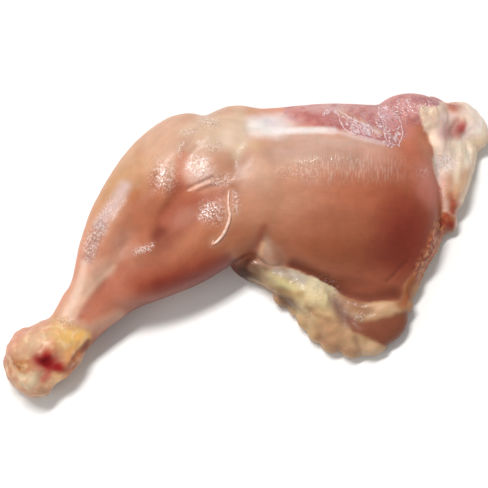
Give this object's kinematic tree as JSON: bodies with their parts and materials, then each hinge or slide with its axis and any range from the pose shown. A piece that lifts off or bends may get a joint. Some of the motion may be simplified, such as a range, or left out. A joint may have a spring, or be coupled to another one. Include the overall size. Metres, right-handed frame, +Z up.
{
  "type": "raw skinless chicken leg",
  "caption": "Raw skinless chicken leg lying on its side: drumstick with its knuckle end, bent at the knee into the thigh, with a fat flap at the hip and lumps of fat below.",
  "frame": {"origin": "on the surface it lies on, under the middle of the leg's box", "axes": "+X towards the hip, +Y towards the front of the leg, +Z up"},
  "size_m": [0.1947, 0.1228, 0.0365],
  "materials": {
    "raw_meat": "gloss",
    "sinew": "gloss"
  },
  "bodies": {
    "root": {"chicken_leg": "raw_meat"}
  },
  "joints": []
}
